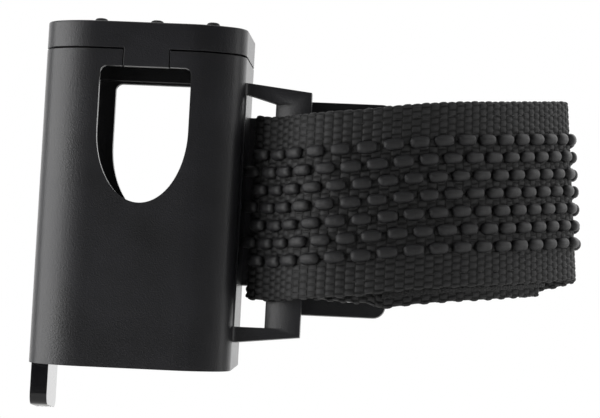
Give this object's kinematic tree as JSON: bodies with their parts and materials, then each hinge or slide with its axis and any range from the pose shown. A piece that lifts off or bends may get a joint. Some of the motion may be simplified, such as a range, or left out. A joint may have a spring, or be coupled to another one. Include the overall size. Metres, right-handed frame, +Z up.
{
  "type": "strap-on wireless trigger holder",
  "caption": "Open-ended moulded holder for a wireless flash trigger, with viewing windows, a removable cap, a spring latch and a gripper-webbing strap that clamps it to a light stand.",
  "frame": {"origin": "centre of the sleeve's flat side face between the two strap lugs, where the holder bears on the stand", "axes": "+X out of that face towards the strap loop, +Y from the sleeve's front to its back, +Z up towards the cap"},
  "size_m": [0.1529, 0.0876, 0.1087],
  "materials": {
    "sleeve_plastic": "fine spark-eroded matt moulded plastic, charcoal black",
    "latch_plastic": "smooth satin moulded plastic, black",
    "foot_rubber": "matt black rubber",
    "webbing": "coarse knitted polyester webbing, black",
    "grip_rubber": "satin black rubber yarn in raised floats",
    "loop_tape": "fine ribbed loop tape, black",
    "hook_tape": "moulded hook tape, black",
    "thread": "bonded polyester thread, black",
    "binding": "heat-sealed woven binding, black"
  },
  "bodies": {
    "root": {"sleeve_shell": "sleeve_plastic", "strap_webbing": "webbing", "grip_cord_1": "grip_rubber", "grip_cord_2": "grip_rubber", "grip_cord_3": "grip_rubber", "grip_cord_4": "grip_rubber", "grip_cord_5": "grip_rubber", "grip_cord_6": "grip_rubber", "grip_cord_7": "grip_rubber", "loop_tape": "loop_tape", "loop_tape_stitching": "thread", "anchor_stitching": "thread"},
    "cap": {"end_cap": "sleeve_plastic", "cap_feet": "foot_rubber"},
    "latch": {"retaining_latch": "latch_plastic"},
    "tail": {"strap_tail": "webbing", "tail_hook_tape": "hook_tape", "tail_grip_cords": "grip_rubber", "tail_stitching": "thread", "tail_end_binding": "binding"}
  },
  "joints": [
    {"name": "cap_lift", "type": "slide", "parent": "root", "child": "cap", "axis": [0, 0, 1], "range_m": [0, 0.012]},
    {"name": "latch_flex", "type": "hinge", "parent": "root", "child": "latch", "pos_m": [-0.0554, 0, -0.017], "axis": [0, 1, 0], "range_deg": [0, 7], "stiffness_Nm_per_rad": 0.4},
    {"name": "tail_peel", "type": "hinge", "parent": "root", "child": "tail", "pos_m": [0.0152, -0.0029, 0.003], "axis": [0, 0, 1], "range_deg": [0, 30], "stiffness_Nm_per_rad": 0.02}
  ]
}
